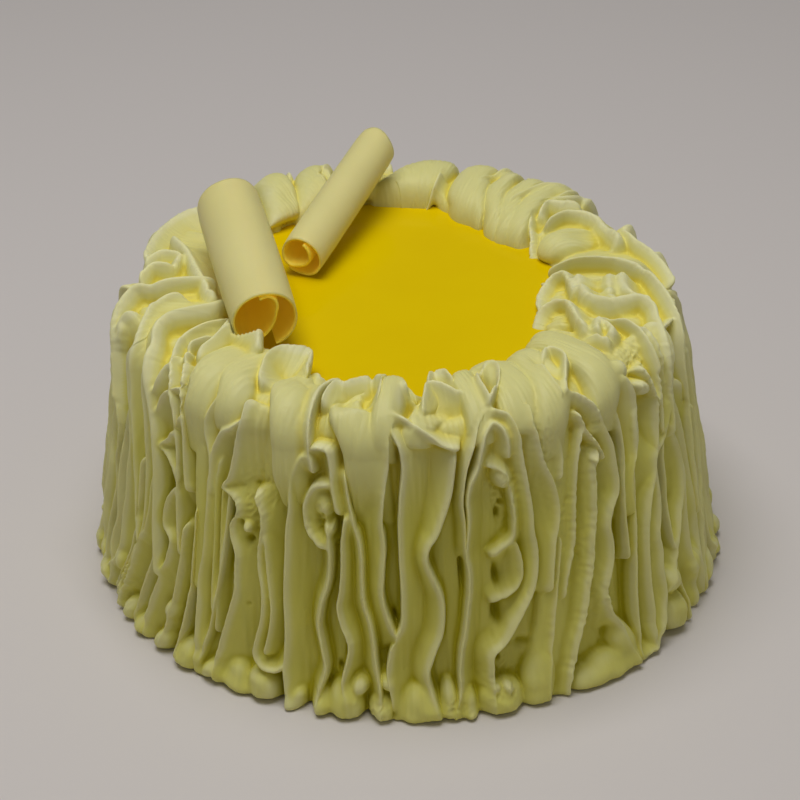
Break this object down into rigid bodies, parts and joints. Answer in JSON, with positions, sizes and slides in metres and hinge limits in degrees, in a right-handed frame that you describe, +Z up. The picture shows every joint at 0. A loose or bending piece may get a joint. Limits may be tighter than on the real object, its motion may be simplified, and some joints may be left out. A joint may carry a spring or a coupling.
{
  "type": "lemon curd cake",
  "caption": "Round uncut cake with ruffled piped buttercream wall and rim, a glossy lemon curd pool inside the rim and rolled white chocolate curls on top.",
  "frame": {"origin": "middle of the foot's bounding box, on the surface the cake stands on", "axes": "+Z up out of the top, -Y towards the side the picture shows, +X to the right in that view"},
  "size_m": [0.1933, 0.192, 0.1107],
  "materials": {
    "buttercream": "soft whipped lemon buttercream, pale yellow, matt with a faint fat sheen",
    "lemon_glaze": "smooth wet lemon curd, strong yellow, glossy",
    "white_chocolate": "ivory white chocolate, dull satin with fine scrape lines"
  },
  "bodies": {
    "root": {"iced_cake": "buttercream", "lemon_curd": "lemon_glaze", "chocolate_curl_large": "white_chocolate", "chocolate_curl_small": "white_chocolate"}
  },
  "joints": []
}
